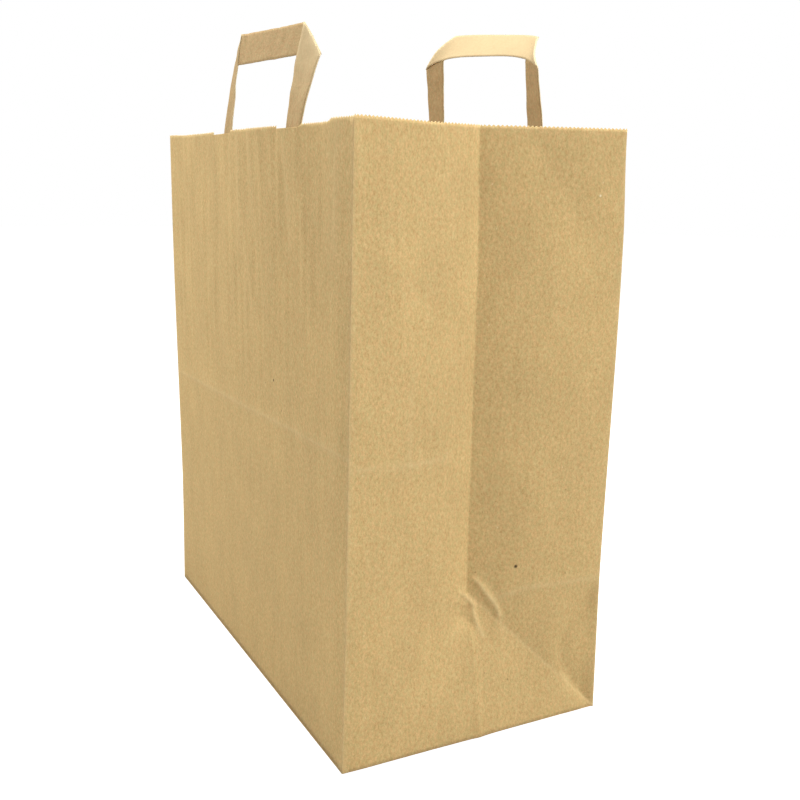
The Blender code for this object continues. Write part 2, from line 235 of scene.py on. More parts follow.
def fibre_group():
    """The fibre effects of kraft paper, each as a plain value from 0 to 1."""
    wanted = [("Paper", "NodeSocketVector", None), ("Fleck Share", "NodeSocketFloat", 0.02)]
    given = ["Tone", "Hue", "Cloud", "Dark Fleck", "Pale Fleck", "Height"]
    tree, start, end = group_tree("kraft_fibre", wanted, given)
    place = start.outputs["Paper"]
    along = node(tree, "ShaderNodeMapping", {"Vector": place, "Scale": (1.0, 0.6, 1.0)}).outputs[0]
    streak = node(tree, "ShaderNodeMapping", {"Vector": place, "Scale": (1.0, 0.08, 1.0)}).outputs[0]
    # turned in space, because noise read along its own axes looks woven
    turned = node(tree, "ShaderNodeMapping", {"Vector": along, "Rotation": (0.6, 0.5, 0.7)}).outputs[0]
    mottle = noise_value(tree, turned, 760.0, 3.0, 0.6)
    fibre = noise_value(tree, turned, 1900.0, 2.0, 0.5)
    lines = noise_value(tree, streak, 260.0, 2.0, 0.5)
    hue = noise_value(tree, turned, 700.0, 2.0, 0.6)
    cloud = noise_value(tree, turned, 38.0, 3.0, 0.55)
    tone = maths(tree, "ADD", maths(tree, "MULTIPLY", mottle, 0.5), maths(tree, "MULTIPLY", fibre, 0.4))
    tone = maths(tree, "ADD", tone, maths(tree, "MULTIPLY", lines, 0.1))
    height = maths(tree, "ADD", maths(tree, "MULTIPLY", mottle, 0.6), maths(tree, "MULTIPLY", fibre, 0.4))
    share = start.outputs["Fleck Share"]
    bark, straw = flecks(tree, along, 330.0, share, 0.16), flecks(tree, along, 410.0, share, 0.2)
    for name, value in zip(given, (tone, hue, cloud, bark, straw, height)):
        tree.links.new(value, end.inputs[name])
    return tree


kraft_fibre = fibre_group()
print("fibre group", len(kraft_fibre.nodes), "nodes")

# %% [markdown]
# ## The papers
# The sheet, the handle strips and the patches are the same kraft in slightly different tones. Where the paper
# was folded hard its fibres stand up and look paler, so each mesh below carries a value that is 1 along its
# folds. On the front handle's right leg and the back handle's grip the same value also holds a painted
# highlight, paler paper where the light falls. The sheet also has the few large flecks that stand out on this
# very bag.

# %% Build the paper materials
SHEET_FLECKS = [
    # place on the blank, radius, and how dark: below zero is pale
    ((0.2139, 0.2050), 0.0011, 0.85),
    ((0.4362, 0.1018), 0.0014, 0.9),
    ((0.2005, 0.2010), 0.0005, 0.6),
    ((0.2265, 0.1885), 0.0005, 0.6),
    ((0.4315, 0.0307), 0.0006, 0.5),
    ((0.4790, 0.3180), 0.0009, -0.6),
]
BARK, STRAW = (0.2, 0.12, 0.05, 1), (0.78, 0.66, 0.42, 1)
DARK_SPOT, PALE_SPOT = (0.03, 0.02, 0.01, 1), (0.9, 0.82, 0.6, 1)


def fleck_group():
    """A mask that is 1 in one round fleck, at a place and with a radius that each use gives."""
    wanted = [("Paper", "NodeSocketVector", None), ("Centre", "NodeSocketVector", None)]
    wanted.append(("Radius", "NodeSocketFloat", 0.001))
    tree, start, end = group_tree("large_fleck", wanted, ["Mask"])
    ends = {0: start.outputs["Paper"], 1: start.outputs["Centre"]}
    away = node(tree, "ShaderNodeVectorMath", ends, operation="DISTANCE").outputs["Value"]
    share = maths(tree, "DIVIDE", away, start.outputs["Radius"])
    tree.links.new(remap(tree, share, 1.0, 0.4), end.inputs["Mask"])
    return tree


large_fleck = fleck_group()


def kraft(name, dark, light, worn_and_highlight, wear_and_highlight_share=0.5, extra_flecks=()):
    """A kraft paper: two mottle colours, one for worn folds and painted highlight, and flecks of its own."""
    material, tree, out = new_material(name)
    paper = node(tree, "ShaderNodeUVMap", uv_map="blank").outputs[0]
    fibre = node(tree, "ShaderNodeGroup", {}, node_tree=kraft_fibre)
    tree.links.new(paper, fibre.inputs["Paper"])
    colour = blend_colour(tree, remap(tree, fibre.outputs["Tone"], 0.34, 0.66), dark, light)
    hue = remap(tree, fibre.outputs["Hue"], 0.38, 0.62)
    tint = blend_colour(tree, hue, (1.035, 0.975, 0.96, 1), (0.965, 1.025, 1.0, 1))
    colour = blend_colour(tree, 1.0, colour, tint, "MULTIPLY")
    cloud = remap(tree, fibre.outputs["Cloud"], 0.3, 0.7, 0.95, 1.05)
    grey = node(tree, "ShaderNodeCombineColor", {0: cloud, 1: cloud, 2: cloud}).outputs[0]
    colour = blend_colour(tree, 1.0, colour, grey, "MULTIPLY")
    colour = blend_colour(tree, maths(tree, "MULTIPLY", fibre.outputs["Dark Fleck"], 0.55), colour, BARK)
    colour = blend_colour(tree, maths(tree, "MULTIPLY", fibre.outputs["Pale Fleck"], 0.5), colour, STRAW)
    # this value pales the paper along worn folds, and on two handle strips it is a painted highlight
    wear_and_highlight = node(tree, "ShaderNodeAttribute", attribute_name="wear_and_highlight").outputs["Fac"]
    colour = blend_colour(tree, maths(tree, "MULTIPLY", wear_and_highlight, wear_and_highlight_share, True), colour, worn_and_highlight)
    for place, radius, strength in extra_flecks:
        mask = node(tree, "ShaderNodeGroup", {}, node_tree=large_fleck)
        tree.links.new(paper, mask.inputs["Paper"])
        mask.inputs["Centre"].default_value = (*place, 0.0)
        mask.inputs["Radius"].default_value = radius
        spot = DARK_SPOT if strength > 0 else PALE_SPOT
        colour = blend_colour(tree, maths(tree, "MULTIPLY", mask.outputs[0], abs(strength)), colour, spot)
    felt = {"Height": fibre.outputs["Height"], "Strength": 0.22, "Distance": 0.0002}
    bump = node(tree, "ShaderNodeBump", felt).outputs[0]
    rough = remap(tree, fibre.outputs["Tone"], 0.0, 1.0, 0.9, 0.74)
    surface = {"Base Color": colour, "Roughness": rough, "Normal": bump, "Specular IOR Level": 0.2}
    shader = node(tree, "ShaderNodeBsdfPrincipled", surface)
    tree.links.new(shader.outputs[0], out.inputs["Surface"])
    return material


sheet_paper = kraft(
    "kraft_sheet_fine", (0.455, 0.31, 0.125, 1), (0.68, 0.5, 0.245, 1), (0.7, 0.55, 0.3, 1), 0.5, SHEET_FLECKS
)
# its pale colour serves its worn folds and the painted highlight on two of its strips
strip_paper = kraft(
    "kraft_strip_fine", (0.39, 0.262, 0.123, 1), (0.575, 0.415, 0.216, 1), (0.74, 0.6, 0.36, 1), 0.6
)
patch_paper = kraft("kraft_patch_fine", (0.44, 0.3, 0.14, 1), (0.56, 0.4, 0.195, 1), (0.62, 0.46, 0.24, 1))
cut_edge = kraft("kraft_cut_edge", (0.66, 0.53, 0.31, 1), (0.8, 0.68, 0.45, 1), (0.8, 0.68, 0.45, 1), 0.3)
print("papers", ", ".join(paper.name for paper in (sheet_paper, strip_paper, patch_paper, cut_edge)))

# %% [markdown]
# ## The folded form
# The sizes of the sheet are those of the CAD model. The functions answer one question: where does a point of
# the flat blank end up when the bag is folded up? A gusset keeps the width of its two halves, so when its
# centre crease is pulled in, the bag gets a little narrower there. Below the point where the diagonal folds
# meet, its apex, each half of a gusset is two flat triangles. Two corner folds bow out a few millimetres, as
# the outline in the photo does.

# %% Write the fold map
PAPER = 0.0003
WIDTH = 0.320
DEPTH = 0.175
HALF_WIDTH = WIDTH / 2
GUSSET_HALF = DEPTH / 2
HEIGHT = body_high[2]
BASE_Z = 2 * PAPER
WALL = HEIGHT - BASE_Z
APEX_IN, MOUTH_IN = 0.014, 0.0175  # how far the gusset's centre crease is pulled in, low and high
APEX_UP = math.sqrt(GUSSET_HALF**2 - APEX_IN**2)
MOUTH_RACK = 0.0032
FRONT_CREASE_RISE = 0.007
# for a corner fold, each bow's depth, the height that it starts from and the height that it takes to grow
CORNER_BOWS = {(1, 1): [(0.0032, 0.06, 0.22), (-0.0019, 0.29, 0.06)], (-1, -1): [(0.0024, 0.04, 0.26)]}
HANDLES = {
    "front": {"side": -1, "centre": 0.0317, "spacing": 0.1080, "bow": 0.004},
    "back": {"side": 1, "centre": 0.0070, "spacing": 0.1250, "bow": 0.004},
}


def lerp(a, b, t):
    return a + (b - a) * t


def smooth(t):
    t = min(1.0, max(0.0, t))
    return t * t * (3 - 2 * t)


def gusset_in(h):
    """How far the gusset's centre crease is pulled in."""
    return lerp(APEX_IN, MOUTH_IN, (h - GUSSET_HALF) / (WALL - GUSSET_HALF))


def half_depth(h):
    """Half the bag's depth at its corner folds."""
    if h <= GUSSET_HALF:
        return lerp(GUSSET_HALF, APEX_UP, h / GUSSET_HALF)
    return math.sqrt(GUSSET_HALF**2 - gusset_in(h) ** 2)


def corner(sx, sy, h):
    """A point of a corner fold: the mouth is racked a little, and two of the folds bow out."""
    lean = MOUTH_RACK * h / WALL if sx != sy else 0.0
    for depth, start, run in CORNER_BOWS.get((sx, sy), ()):
        lean -= depth * smooth((h - start) / run)
    return Vector((sx * HALF_WIDTH, sy * (half_depth(h) - lean), BASE_Z + h))


def panel_bow(handle, x, h):
    """How far a large panel is bowed out between its handle's legs, more towards the mouth."""
    crease = DEPTH + FRONT_CREASE_RISE if handle["side"] < 0 else GUSSET_HALF
    reach = (x - handle["centre"]) / handle["spacing"]
    if h <= crease or abs(reach) >= 1:
        return 0.0
    return handle["bow"] * (1 - reach**2) ** 2 * (h - crease) / (WALL - crease)


def crease_point(sx, h):
    """A point of a gusset's centre crease, from the apex up."""
    z = lerp(BASE_Z + APEX_UP, HEIGHT, (h - GUSSET_HALF) / (WALL - GUSSET_HALF))
    y = (corner(sx, -1, h).y + corner(sx, 1, h).y) / 2
    return Vector((sx * (HALF_WIDTH - gusset_in(h)), y, z))


def gusset_point(sx, s, h):
    """A point of a gusset, s across from its centre crease: flat halves above the apex, triangles below."""
    sy = 1 if s > 0 else -1
    across = (GUSSET_HALF - abs(s)) / GUSSET_HALF
    if h >= GUSSET_HALF:
        return corner(sx, sy, h).lerp(crease_point(sx, h), across)
    foot = corner(sx, sy, 0.0)
    to_apex = crease_point(sx, GUSSET_HALF) - foot
    up = h / GUSSET_HALF
    if up <= across:
        return foot + (across - up) * (Vector((sx * HALF_WIDTH, 0.0, BASE_Z)) - foot) + up * to_apex
    return foot + (up - across) * (corner(sx, sy, GUSSET_HALF) - foot) + across * to_apex


print("gusset pulled in", gusset_in(GUSSET_HALF), "to", gusset_in(WALL))

# %% [markdown]
# ## The relief of used paper
# Paper that was folded flat, shipped and opened keeps a memory: the pressed line that the bottom left on the
# front, fine ripples under the handles, a crumple where the gusset's diagonals meet, a dent by the far lower
# corner. Each is a ridge or a valley along a short line, given in millimetres on its wall: across from the
# middle, then up. A height above zero stands out of the bag. The two widths say how fast it fades on the left
# and on the right of the line as it runs.

# %% List the ridges and valleys
TO_MM = 1000
SIDE_RELIEF = {
    # points, height, width on the left, width on the right, all in millimetres
    "centre crease": ([(0, 80), (0, 360)], -3.2, 13, 15),
    "swell by the crease": ([(36, 150), (33, 142), (21, 90)], 0.9, 26, 9),
    "far upper valley": ([(34, 345), (41, 332), (64, 305), (84, 286)], -0.9, 16, 14),
    "near upper swell": ([(-86, 298), (-74, 286), (-60, 279)], 0.6, 30, 9),
    "middle crease": ([(-86, 175.5), (-55, 173), (-20, 172)], 0.25, 3, 6),
    "short crease": ([(-45, 228), (-47, 200), (-46, 168)], 0.2, 2.5, 4),
    "near lower swell": ([(-87, 84), (-66, 62), (-52, 36)], 0.7, 10, 16),
    "base swell": ([(0, 64), (2.5, 2)], 0.9, 9, 7),
    "far crumple": ([(5, 95), (10.4, 87.4), (14.6, 81.4), (17.5, 76.5), (19, 72)], 1.8, 1.2, 2.4),
    "near crumple": ([(-4, 88), (1, 83), (2.8, 79.9), (3.4, 72.5), (5.2, 66.7), (8.5, 61)], 1.8, 1.2, 2.4),
    "crumple valley": ([(-4, 73), (3, 68), (9, 61)], -1.6, 4, 6),
    "far crumple valley": ([(13, 92), (19, 84), (21, 76), (24, 68)], -0.4, 3, 3),
    "lower crease": ([(16, 82), (34, 87.2), (56, 88.1), (86, 87)], 0.45, 12, 5),
    "corner dent": (
        [(84.3, 79.6), (68.7, 62.7), (62, 47), (61.6, 37.4), (65, 28.3), (72.3, 17.5), (86, 2)],
        *(-2.6, 24, 2.6),
    ),
    "near base swell": ([(-90, 26), (-22, 30)], 1.2, 24, 24),
    "base crease": ([(0.5, 62), (1.5, 30), (2.5, 2)], 0.55, 1.6, 3),
    "crumple arm": ([(-8, 84), (-3, 81), (3, 80.5)], 0.8, 1.1, 1.8),
    "crumple arm valley": ([(-14, 68), (-8, 71), (-3, 77)], -0.6, 2.5, 3),
}
BOTH_GUSSETS = ("centre crease", "middle crease", "lower crease")
PRESSED_LINE = [(-160, 174.3), (9, 178.1), (94, 180.9), (160, 181.8)]
BACK_PRESSED_LINE = [(-160, 89), (160, 90)]
FRONT_SWELLS = [
    (PRESSED_LINE, 0.8, 26, 4),
    ([(-7, 356), (-4.7, 339), (9, 290), (19, 266), (24, 240)], 0.55, 6, 4),
    ([(-36, 356), (-34, 320), (-28, 280)], 0.25, 5, 5),
    ([(12, 356), (18, 320), (28, 280)], -0.4, 4, 5),
    ([(36, 356), (44, 320), (56, 270)], 0.5, 6, 5),
    ([(62, 356), (66, 347), (75, 322), (82, 280), (86, 245)], -0.8, 6, 6),
    ([(92, 356), (98, 310), (104, 270)], 0.5, 7, 6),
    ([(118, 356), (120, 320), (122, 280)], -0.3, 8, 8),
    ([(143, 356), (144, 260), (145, 120), (146, 40)], 0.8, 16, 12),
    ([(-132, 356), (-128, 300), (-131, 230)], -0.5, 9, 14),
    ([(-60, 356), (-64, 300), (-70, 250)], 0.35, 12, 12),
]
FRONT_RIPPLES = [
    ([(3, 356), (1, 280)], 0.5, 1.8, 2.3),
    ([(22, 356), (28, 294)], 0.4, 1.6, 2.1),
    ([(73, 356), (81, 286)], 0.5, 1.8, 2.3),
    ([(143, 356), (141, 290)], 0.6, 5.0, 6.5),
]


def ridge(x, h, line, height, left, right):
    """Relief in millimetres at a point in metres. It fades away from the line, at a rate for each side."""
    across, up = x * TO_MM, h * TO_MM
    nearest, side = 1e9, 1.0
    for (ax, ay), (bx, by) in zip(line, line[1:]):
        dx, dy = bx - ax, by - ay
        t = min(1.0, max(0.0, ((across - ax) * dx + (up - ay) * dy) / (dx * dx + dy * dy)))
        px, py = across - ax - t * dx, up - ay - t * dy
        away = math.hypot(px, py)
        if away < nearest:
            nearest, side = away, dx * py - dy * px
    share = nearest / (left if side > 0 else right)
    return height * math.exp(-share) if share < 6 else 0.0


def cockle(place, size, depth):
    """Soft random swelling of the paper, depth millimetres high and size metres across."""
    return depth * noise.noise(place / size)


def tuck(h, depth, reach):
    """The walls draw in a little above the base fold."""
    return -depth * math.exp(-h / reach)


print("relief lines", len(SIDE_RELIEF), "on the side,", len(FRONT_SWELLS + FRONT_RIPPLES), "on the front")

# %% [markdown]
# ## Where every point of the sheet goes
# The blank is measured along u, from the glued edge round the left gusset, the front, the right gusset and
# back to the seam, and up along h. The front's left corner fold is at u = 0. The relief stops at the corner
# folds, so that both walls still meet there, and a fold itself is rounded a little, as thick paper is.

# %% Fold a point and give its wear
SOFT = 0.0008  # a corner fold is rounded over this width
CORNER_FADE = 0.012  # the panels' relief fades out this near to a corner fold
GUSSET_FADE = 0.008
WORN_WIDTH = 0.0012
SEAM_LAP, SEAM_EDGE = 0.020, 0.012  # the glued lap, and how far its outer edge is from the corner fold
SEAM_INNER = -DEPTH - (SEAM_EDGE + SEAM_LAP)
SEAM_OUTER = 2 * WIDTH + DEPTH - SEAM_EDGE
CORNERS = [-DEPTH, 0.0, WIDTH, WIDTH + DEPTH]
CREASES = [-DEPTH / 2, WIDTH + DEPTH / 2]
SIDE_WEAR = {
    # strength, and width in millimetres
    "far crumple": (1.0, 1.0),
    "near crumple": (0.9, 0.9),
    "lower crease": (0.6, 1.4),
    "middle crease": (0.5, 1.3),
    "short crease": (0.35, 1.2),
}


def front_face(x, h):
    """Distance of the front panel's outer face from the middle plane, relief included."""
    left, right = (abs(corner(sx, -1, h).y) for sx in (-1, 1))
    relief = sum(ridge(x, h, *line) for line in FRONT_SWELLS + FRONT_RIPPLES)
    relief += cockle(Vector((x, 0.3, h * 0.5)), 0.03, 0.35) + tuck(h, 0.35, 0.01)
    relief += cockle(Vector((x, 5.1, h * 0.05)), 0.0055, 0.7) * smooth((h - 0.13) / 0.16)
    fade = smooth((HALF_WIDTH - abs(x)) / CORNER_FADE)
    return lerp(left, right, x / WIDTH + 0.5) + panel_bow(HANDLES["front"], x, h) + relief * fade / TO_MM


def back_face(x, h):
    """The same for the back panel, which is guessed to be as used as the front but plainer."""
    left, right = (abs(corner(sx, 1, h).y) for sx in (-1, 1))
    relief = cockle(Vector((x, 1.3, h * 0.6)), 0.03, 0.5) + tuck(h, 0.35, 0.01)
    relief += ridge(x, h, BACK_PRESSED_LINE, 0.5, 7, 16)
    fade = smooth((HALF_WIDTH - abs(x)) / CORNER_FADE)
    return lerp(left, right, x / WIDTH + 0.5) + panel_bow(HANDLES["back"], x, h) + relief * fade / TO_MM


def side_relief(sx, s, h):
    """Relief of a gusset in metres. The far gusset has the plain creases only."""
    names = SIDE_RELIEF if sx > 0 else BOTH_GUSSETS
    relief = sum(ridge(s, h, *SIDE_RELIEF[name]) for name in names)
    relief += cockle(Vector((s, 2.3 * sx, h * 0.6)), 0.028, 0.5) + tuck(h, 0.3, 0.008)
    if s > 0:
        relief += 1.5 * math.sin(math.pi * s / GUSSET_HALF) * smooth((h + s - 0.05) / 0.05)
    return relief * smooth((GUSSET_HALF - abs(s)) / GUSSET_FADE) / TO_MM


def rounded_gusset(sx, s, h):
    """The gusset with its near diagonal only half creased, as a mean of places round the point."""
    from_diagonal = abs(GUSSET_HALF - abs(s) - h)
    if sx < 0 or s > 0 or h > GUSSET_HALF + 0.008 or from_diagonal > 0.014:
        return gusset_point(sx, s, h)
    reach = min(0.009, -s, GUSSET_HALF + s, h)
    steps = [(0, 0), (-reach, -reach), (reach, reach), (-reach, reach), (reach, -reach)]
    return sum((gusset_point(sx, s + ds, h + dh) for ds, dh in steps), Vector()) / len(steps)


def wall_point(u, h):
    """Where a point of the blank goes: part of the back, a gusset, the front, a gusset, the back again."""
    if u < -DEPTH:
        x = -HALF_WIDTH - DEPTH - u
        return Vector((x, back_face(x, h), BASE_Z + h))
    if u < 0:
        s = -u - DEPTH / 2
        return gusset_point(-1, s, h) + Vector((-side_relief(-1, s, h), 0, 0))
    if u <= WIDTH:
        x = u - HALF_WIDTH
        return Vector((x, -front_face(x, h), BASE_Z + h))
    if u <= WIDTH + DEPTH:
        s = u - WIDTH - DEPTH / 2
        return rounded_gusset(1, s, h) + Vector((side_relief(1, s, h), 0, 0))
    x = HALF_WIDTH - (u - WIDTH - DEPTH)
    lap = PAPER * smooth((u - SEAM_OUTER + 0.026) / 0.005)
    return Vector((x, back_face(x, h) + lap, BASE_Z + h))


def mouth_rise(u):
    """The knife cut the mouth in steps: the near corner stands a little above the front's long edge."""
    x = u - HALF_WIDTH
    if 0 <= u <= WIDTH:
        return -0.0003 + 0.0016 * smooth((x - 0.129) / 0.008) + 0.0008 * smooth((-x - 0.12) / 0.03)
    if WIDTH < u < WIDTH + DEPTH:
        return 0.0008 + 0.0012 * (1 - smooth((u - WIDTH) / 0.06))
    return 0.0


def folded(u, h):
    """A point of the blank folded up, with the mouth's uneven cut and the rounding of the corner folds."""
    share = smooth((h - WALL + 0.014) / 0.012)
    h = h + mouth_rise(u) * share
    point = wall_point(u, h)
    for fold in CORNERS:
        if abs(u - fold) < SOFT / 2:
            point = (2 * point + wall_point(u - SOFT, h) + wall_point(u + SOFT, h)) / 4
    return point


def sheet_wear(u, h):
    """How pale the paper is at a point: 1 on a sharp fold."""
    value = sum(0.7 * math.exp(-abs(u - fold) / WORN_WIDTH) for fold in CORNERS)
    x, s = u - HALF_WIDTH, u - WIDTH - DEPTH / 2
    if 0 <= u <= WIDTH:
        value += ridge(x, h, PRESSED_LINE, 0.55, 1.5, 1.5)
        value += sum(ridge(x, h, line, 0.3, left, right) for line, _, left, right in FRONT_RIPPLES)
    elif WIDTH < u <= WIDTH + DEPTH:
        for name, (strength, width) in SIDE_WEAR.items():
            value += ridge(s, h, SIDE_RELIEF[name][0], strength, width, width)
        if h < GUSSET_HALF and s > 0:
            value += 0.4 * math.exp(-abs(GUSSET_HALF - s - h) / 0.0016)
    return min(1.0, value)


print("a corner of the front", [round(c, 4) for c in folded(0.0, WALL)])

# %% [markdown]
# ## Cut and score the blank
# The blank is a grid laid flat. Its columns are two teeth wide. The right gusset, which faces the camera, gets
# finer cells, finest where it is crumpled, and so does the upper front, where it ripples. Scoring cuts the
# grid along each fold line and just beside it, so a fold stays narrow instead of bending a whole cell. The
# notches are cut out of the mouth, and the pinking moves every other point of the mouth edge down.

# %% Cut and score the blank
CELL = 0.00486
TOOTH_PITCH = 0.0024
TOOTH_DEPTH = 0.0009
NOTCH_DEPTH = 0.0018
NOTCH_SLANT = 0.004
FRONT_NOTCHES = [(0.1082, 0.1490), (0.2236, 0.2590)]
BACK_NOTCHES = [(0.5505, 0.5905), (0.6745, 0.7145)]
RIPPLED = 0.19  # the front gets finer cells this far down from the mouth


def spread(stops):
    """Grid lines at the stops, with even lines about a cell apart between them."""
    places = [stops[0]]
    for low, high in zip(stops, stops[1:]):
        steps = max(1, round((high - low) / CELL))
        places += [lerp(low, high, (i + 1) / steps) for i in range(steps)]
    return places


def flat_grid(columns, rows):
    """A flat sheet of faces, with its grid lines at the given places."""
    bm = bmesh.new()
    bmesh.ops.create_grid(bm, x_segments=len(columns) - 1, y_segments=len(rows) - 1, size=0.5)
    for vertex in bm.verts:
        column = round((vertex.co.x + 0.5) * (len(columns) - 1))
        row = round((vertex.co.y + 0.5) * (len(rows) - 1))
        vertex.co = (columns[column], rows[row], 0.0)
    return bm


def faces_in(bm, low, high):
    """The faces whose middle lies in a flat box."""
    found = []
    for face in bm.faces:
        middle = face.calc_center_median()
        if low[0] < middle.x < high[0] and low[1] < middle.y < high[1]:
            found.append(face)
    return found


def refine(bm, low, high):
    """Halves the cells in a flat box."""
    edges = {edge for face in faces_in(bm, low, high) for edge in face.edges}
    bmesh.ops.subdivide_edges(bm, edges=list(edges), cuts=1, use_grid_fill=True)


def score(bm, start, end, low, high, beside=(0.0, -SOFT, SOFT)):
    """Cuts the faces in a flat box along the line from start to end, and beside it."""
    run = Vector((end[0] - start[0], end[1] - start[1], 0.0))
    across = Vector((run.y, -run.x, 0.0)).normalized()
    for away in beside:
        faces = faces_in(bm, low, high)
        edges, verts = {e for f in faces for e in f.edges}, {v for f in faces for v in f.verts}
        geometry = faces + list(edges) + list(verts)
        place = Vector((start[0], start[1], 0.0)) + across * away
        bmesh.ops.bisect_plane(bm, geom=geometry, dist=2e-5, plane_co=place, plane_no=across)


def cut_notch(bm, left, right):
    """A straight notch in the mouth, square on its left and slanted on its right."""
    floor_h = WALL - NOTCH_DEPTH
    low, high = (left - 0.006, WALL - 0.012), (right + 0.006, 1.0)
    foot = right - NOTCH_SLANT
    score(bm, (left, 0), (left, 1), low, high, (0.0,))
    score(bm, (foot, floor_h), (right, WALL), low, high, (0.0,))
    score(bm, (left, floor_h), (right, floor_h), low, high, (0.0,))
    waste = []
    for face in faces_in(bm, (left, floor_h), (right, 1.0)):
        middle = face.calc_center_median()
        if middle.x - foot < (middle.y - floor_h) * NOTCH_SLANT / NOTCH_DEPTH:
            waste.append(face)
    bmesh.ops.delete(bm, geom=waste, context="FACES")


def pink(bm, edges, inwards):
    """Cuts teeth along free edges: every other new point moves by the vector inwards."""
    for edge in edges:
        start, end = edge.verts
        teeth = max(1, round(edge.calc_length() / TOOTH_PITCH))
        origin, run = start.co.copy(), end.co - start.co
        made = bmesh.ops.subdivide_edges(bm, edges=[edge], cuts=2 * teeth - 1)["geom_inner"]
        fresh = [v for v in made if isinstance(v, bmesh.types.BMVert)]
        fresh.sort(key=lambda v: (v.co - origin).dot(run))
        for vertex in fresh[::2]:
            vertex.co += inwards


def mouth_edges(bm):
    return [e for e in bm.edges if e.is_boundary and all(v.co.y > WALL - 1e-5 for v in e.verts)]


stops = [SEAM_INNER, -DEPTH, -DEPTH / 2, 0.0, WIDTH, WIDTH + DEPTH / 2, WIDTH + DEPTH, SEAM_OUTER]
blank = flat_grid(spread(stops), spread([0.0, GUSSET_HALF, WALL]))
refine(blank, (WIDTH, -1), (WIDTH + DEPTH, 1))
refine(blank, (0.0, WALL - RIPPLED), (WIDTH, 1))
crumple = WIDTH + DEPTH / 2
refine(blank, (crumple - 0.016, 0.052), (crumple + 0.03, 0.108))
for fold in CORNERS + CREASES:
    score(blank, (fold, 0), (fold, 1), (fold - 0.012, -1), (fold + 0.012, 1))
for crease in CREASES:
    for side in (-1, 1):
        reach = sorted((crease, crease + side * GUSSET_HALF))
        foot = (crease + side * GUSSET_HALF, 0.0)
        score(blank, foot, (crease, GUSSET_HALF), (reach[0], -1), (reach[1], GUSSET_HALF))
pressed = [(x / TO_MM + HALF_WIDTH, h / TO_MM - BASE_Z) for x, h in PRESSED_LINE]
for start, end in zip(pressed, pressed[1:]):
    score(blank, start, end, (start[0], 0.16), (end[0], 0.19))
for left, right in FRONT_NOTCHES + BACK_NOTCHES:
    cut_notch(blank, left, right)
pink(blank, mouth_edges(blank), Vector((0, -TOOTH_DEPTH, 0)))
print("blank", len(blank.verts), "vertices,", len(blank.faces), "faces")

# %% [markdown]
# ## Fold it up
# Before the blank is folded, each corner of each face keeps its flat place as a UV map called blank, in
# metres, and each vertex gets its wear. Then one loop moves every vertex to its place in the bag. Solidify
# gives the sheet its thickness on the inside, and its rim takes the paler material of a fresh cut.


# %% Fold it up
SHARP_FOLD = math.radians(50)


def keep_blank(bm):
    """Stores the flat coordinates as a UV map before the folding moves the vertices."""
    layer = bm.loops.layers.uv.new("blank")
    for face in bm.faces:
        for loop in face.loops:
            loop[layer].uv = loop.vert.co.xy


def fold_up(bm, place, wear_and_highlight):
    """Moves every flat point to its place in the bag and stores its wear."""
    layer = bm.verts.layers.float.new("wear_and_highlight")
    for vertex in bm.verts:
        u, h = vertex.co.xy
        vertex[layer] = wear_and_highlight(u, h)
        vertex.co = place(u, h)


def finish_piece(name, bm, materials):
    """Makes the object, smooth but for its sharp folds, and puts it on the body."""
    mesh = bpy.data.meshes.new(name)
    bm.normal_update()
    for face in bm.faces:
        face.smooth = True
    for edge in bm.edges:
        edge.smooth = len(edge.link_faces) != 2 or edge.calc_face_angle(0.0) < SHARP_FOLD
    bm.to_mesh(mesh)
    bm.free()
    for material in materials:
        mesh.materials.append(material)
    piece = bpy.data.objects.new(name, mesh)
    scene.collection.objects.link(piece)
    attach(piece, "root")
    return piece


def paper_thickness(piece, thickness):
    """Thickens a sheet inwards, with the cut edge's material on its rim."""
    solid = piece.modifiers.new("paper", "SOLIDIFY")
    solid.thickness = thickness
    solid.offset = -1.0
    solid.material_offset_rim = 1


keep_blank(blank)
fold_up(blank, folded, sheet_wear)
sheet = finish_piece("kraft_tube", blank, [sheet_paper, cut_edge])
paper_thickness(sheet, PAPER)
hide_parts("bag_body")
print("tube", len(sheet.data.polygons), "faces, box", [round(c, 4) for c in sheet.dimensions])

# %% [markdown]
# ## The block bottom
# The lower ends of the tube fold in to a flat base: two side flaps first, which show inside the bag, then
# the front flap and last the back flap, glued over each other. Each is a flat plate with one pinked end,
# where the knife cut the tube.

# %% Fold the block bottom
FLAP_REACH = GUSSET_HALF + 0.012  # each flap passes the middle, so that it laps the one opposite
EASE = 0.0002


def flap(bm, outline, low, high, inwards):
    """A flat flap whose third edge is the pinked one, from low to high in Z."""
    corners = [bm.verts.new((x, y, low)) for x, y in outline]
    before = set(bm.faces)
    bm.faces.new(corners)
    pink(bm, [bm.edges.get(corners[2:])], inwards)
    plate = [f for f in bm.faces if f not in before]
    made = bmesh.ops.extrude_face_region(bm, geom=plate)["geom"]
    lifted = [v for v in made if isinstance(v, bmesh.types.BMVert)]
    bmesh.ops.translate(bm, verts=lifted, vec=(0, 0, high - low))


